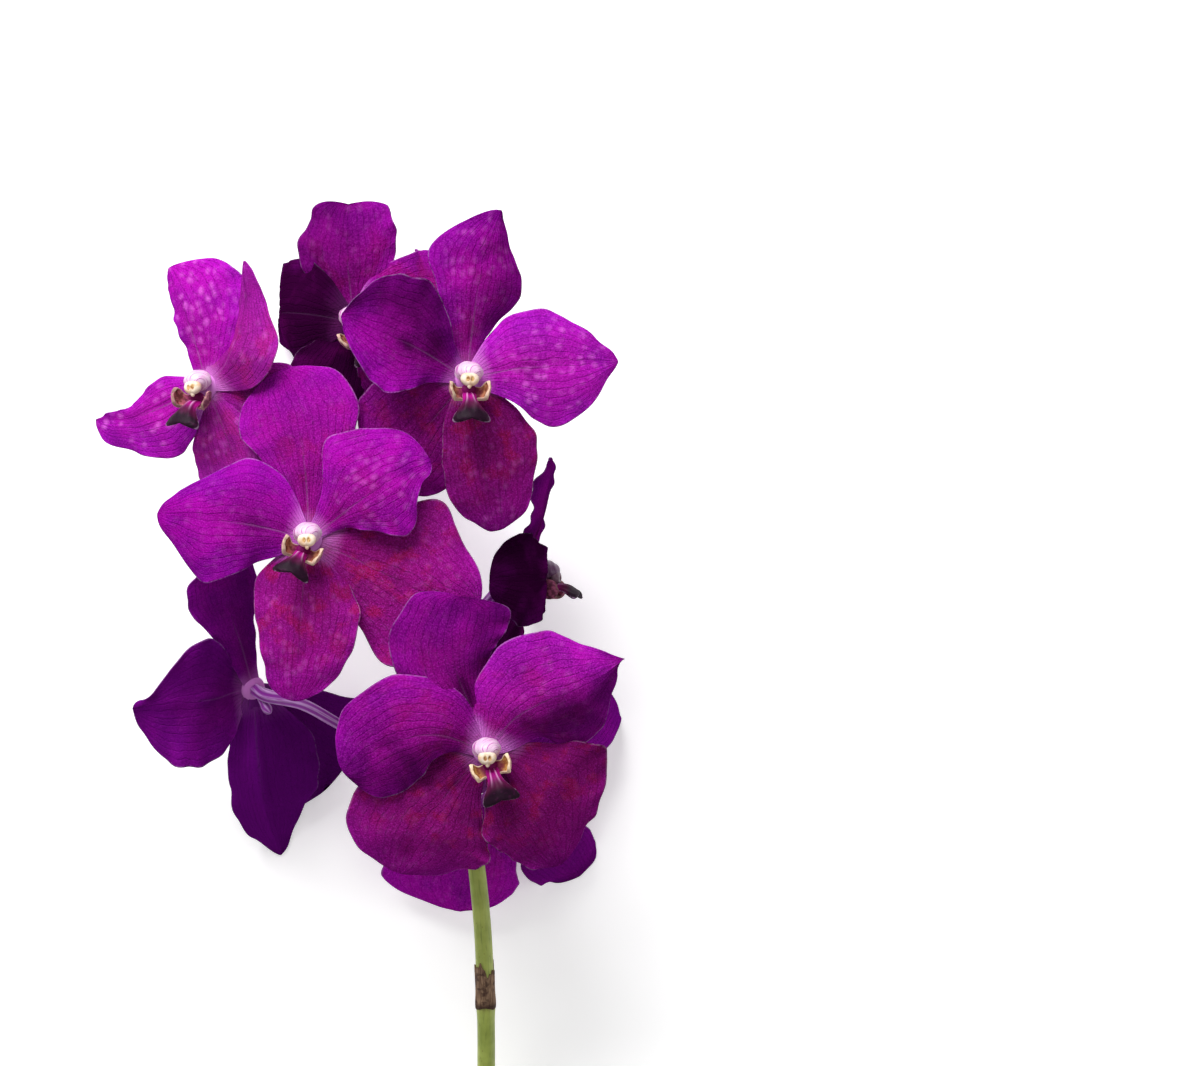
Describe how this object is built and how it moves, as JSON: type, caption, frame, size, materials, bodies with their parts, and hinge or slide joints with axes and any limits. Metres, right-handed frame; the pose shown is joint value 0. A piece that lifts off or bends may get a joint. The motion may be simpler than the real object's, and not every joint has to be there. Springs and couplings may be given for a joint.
{
  "type": "vanda orchid cut stem",
  "caption": "Cut flower spray with a bare green stem and broad purple blooms of five blades each round a pale column and a small dark lip, lying on a table",
  "frame": {"origin": "middle of the bottom of the bounding box, on the table the spray lies on", "axes": "+Z up away from the table; +Y along the spray from the cut end of the stem to the last bloom; +X to the right seen from above with +Y up"},
  "size_m": [0.1717, 0.3397, 0.1096],
  "materials": {
    "tepals": "soft velvety petal, magenta purple with darker veins and pale spots",
    "column": "waxy cream flesh with a lilac foot",
    "lip": "waxy near-black purple lip with tan side lobes",
    "stalk": "ribbed lilac flower stalk",
    "stem": "green plant stem with a brown sheath"
  },
  "bodies": {
    "root": {"stem": "stem", "centre_bloom_tepals": "tepals", "centre_bloom_column": "column", "centre_bloom_lip": "lip", "centre_bloom_stalk": "stalk", "right_bloom_tepals": "tepals", "right_bloom_column": "column", "right_bloom_lip": "lip", "right_bloom_stalk": "stalk", "front_bloom_tepals": "tepals", "front_bloom_column": "column", "front_bloom_lip": "lip", "front_bloom_stalk": "stalk", "left_bloom_tepals": "tepals", "left_bloom_column": "column", "left_bloom_lip": "lip", "left_bloom_stalk": "stalk", "top_bloom_tepals": "tepals", "top_bloom_column": "column", "top_bloom_lip": "lip", "top_bloom_stalk": "stalk", "lower_left_bloom_tepals": "tepals", "lower_left_bloom_column": "column", "lower_left_bloom_lip": "lip", "lower_left_bloom_stalk": "stalk", "side_bloom_tepals": "tepals", "side_bloom_column": "column", "side_bloom_lip": "lip", "side_bloom_stalk": "stalk", "back_bloom_tepals": "tepals", "back_bloom_column": "column", "back_bloom_lip": "lip", "back_bloom_stalk": "stalk"}
  },
  "joints": []
}
